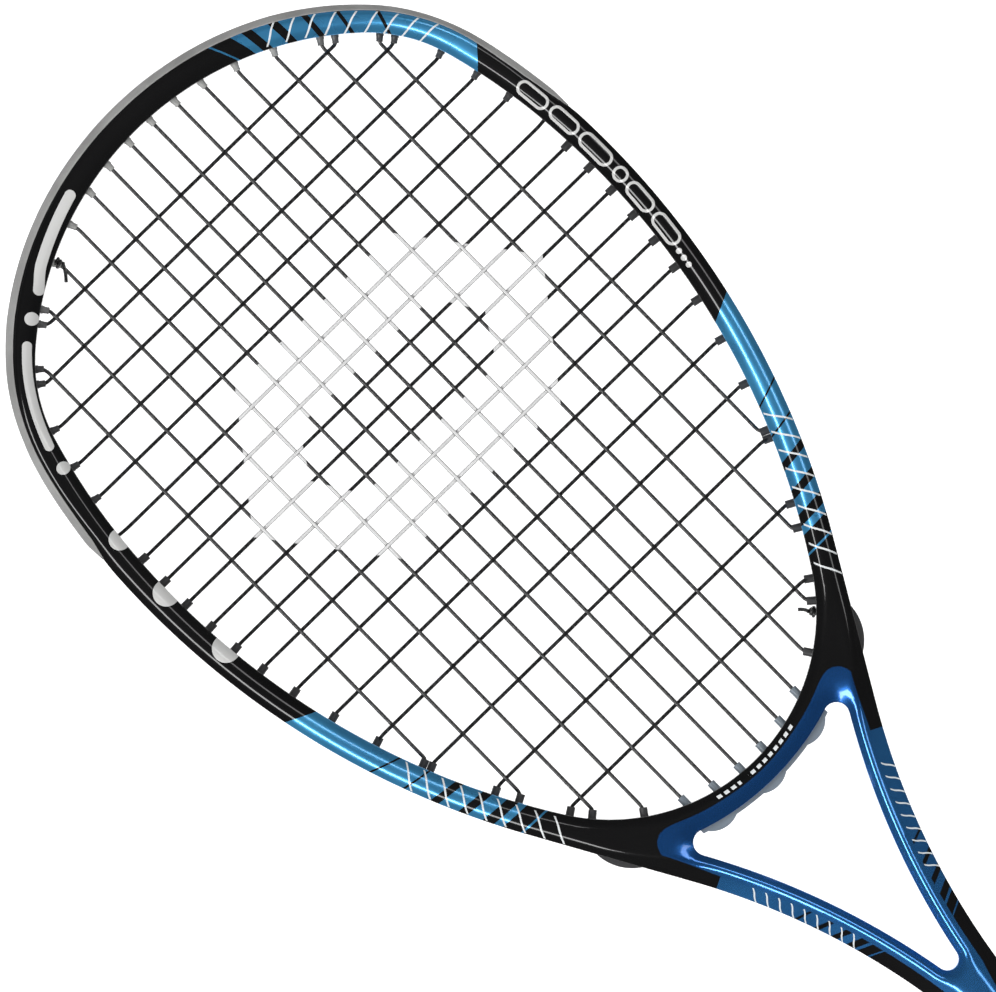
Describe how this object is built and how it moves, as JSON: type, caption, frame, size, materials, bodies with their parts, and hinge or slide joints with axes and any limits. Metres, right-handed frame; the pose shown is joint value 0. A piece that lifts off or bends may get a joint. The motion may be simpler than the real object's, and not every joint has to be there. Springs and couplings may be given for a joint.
{
  "type": "squash racket",
  "caption": "Squash racket with a tapered strung head, open throat, round-cornered shaft and wound grip, for striking a ball.",
  "frame": {"origin": "centre of the butt cap's end face, where the racket stands on its end", "axes": "+Y along the shaft from the butt to the tip of the head, +X across the head, +Z square to the string bed; the racket lies on its face"},
  "size_m": [0.215, 0.686, 0.033],
  "materials": {
    "frame_paint": "gloss",
    "bumper": "matt moulded nylon",
    "grommet": "satin, slightly clear nylon",
    "string": "gloss",
    "handle_foam": "matt foam",
    "cap": "matt",
    "emblem": "gloss",
    "underlay": "matt",
    "grip": "matt perforated polyurethane",
    "tape": "satin",
    "collar": "matt",
    "steel": "bright"
  },
  "bodies": {
    "root": {"frame_tube": "frame_paint", "throat_bridge": "frame_paint", "bumper_guard": "bumper", "grommet_strip_left": "grommet", "grommet_strip_right": "grommet", "grommet_strip_bridge": "grommet", "main_string": "string", "cross_string": "string", "handle_pallet_front": "handle_foam", "handle_pallet_back": "handle_foam", "butt_cap": "cap", "butt_cap_nails": "steel", "butt_emblem": "emblem", "grip_underlay": "underlay", "grip_wrap": "grip", "grip_staple": "steel", "finishing_tape": "tape", "grip_collar": "collar"}
  },
  "joints": []
}
